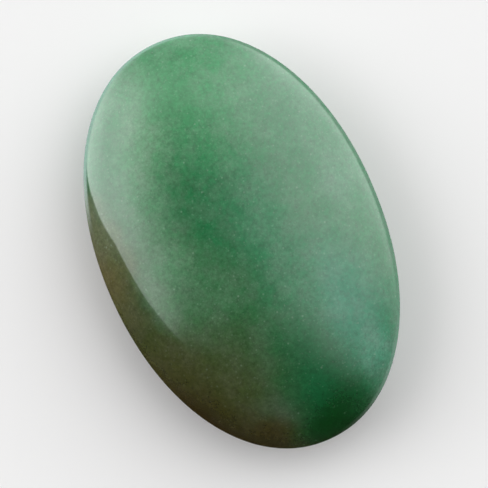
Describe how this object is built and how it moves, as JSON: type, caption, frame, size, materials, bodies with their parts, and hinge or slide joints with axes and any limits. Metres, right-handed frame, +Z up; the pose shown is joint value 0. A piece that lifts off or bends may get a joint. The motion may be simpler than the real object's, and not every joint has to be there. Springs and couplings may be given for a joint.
{
  "type": "palm stone",
  "caption": "Polished oval pebble of green aventurine, crowned on both faces with a rounded rim, lying on a small flat.",
  "frame": {"origin": "under the middle of the stone, on the flat that it lies on", "axes": "+Z up out of the crown, +X along the stone's length towards its slightly narrower end, +Y across it"},
  "size_m": [0.07, 0.046, 0.017],
  "materials": {
    "green_aventurine": "polished"
  },
  "bodies": {
    "root": {"palm_stone": "green_aventurine"}
  },
  "joints": []
}
